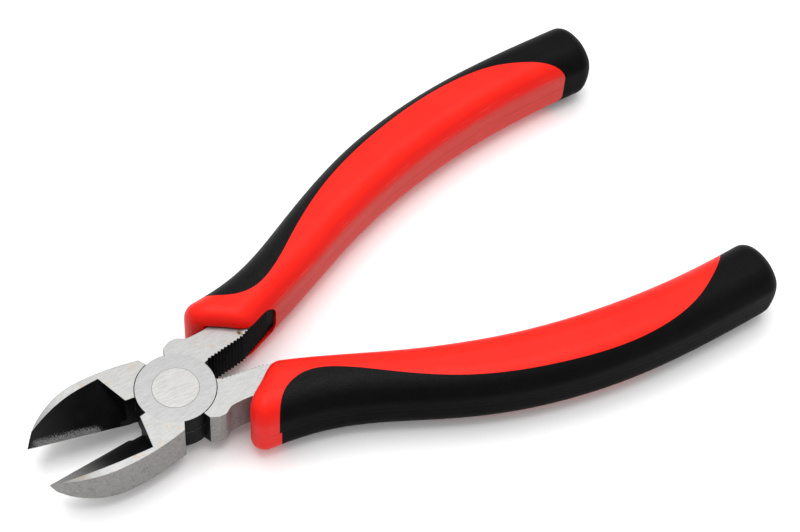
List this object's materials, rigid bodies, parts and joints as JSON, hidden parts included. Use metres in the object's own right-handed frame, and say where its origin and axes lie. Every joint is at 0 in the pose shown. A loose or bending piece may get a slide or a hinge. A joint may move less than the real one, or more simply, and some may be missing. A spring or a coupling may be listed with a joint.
{
  "type": "diagonal cutting pliers",
  "caption": "Hand tool with a riveted lap joint, two hollow-ground cutting jaws, serrated shanks and bowed handles with two-colour moulded grips.",
  "frame": {"origin": "on the pivot axis, at the joint's lower flat face", "axes": "+X from the pivot towards the handles along the middle plane, +Y towards the handle of half A, +Z along the pivot axis, up through the joint; the jaws are stored open by 17.8 degrees"},
  "size_m": [0.1649, 0.0894, 0.0172],
  "materials": {
    "steel": "flat faces ground, side walls as forged, bevels dark oxide",
    "rivet_steel": "ground flush",
    "red_moulding": "satin",
    "black_moulding": "fine matte grain"
  },
  "bodies": {
    "half_a_with_grip": {"half_a": "steel", "pivot_rivet": "rivet_steel", "grip_core_a": "red_moulding", "grip_cover_a": "black_moulding"},
    "half_b_with_grip": {"half_b": "steel", "grip_core_b": "red_moulding", "grip_cover_b": "black_moulding"}
  },
  "joints": [
    {"name": "pivot", "type": "hinge", "parent": "half_a_with_grip", "child": "half_b_with_grip", "pos_m": [0, 0, 0.0048], "axis": [0, 0, 1], "range_deg": [-30, 17.7]}
  ]
}
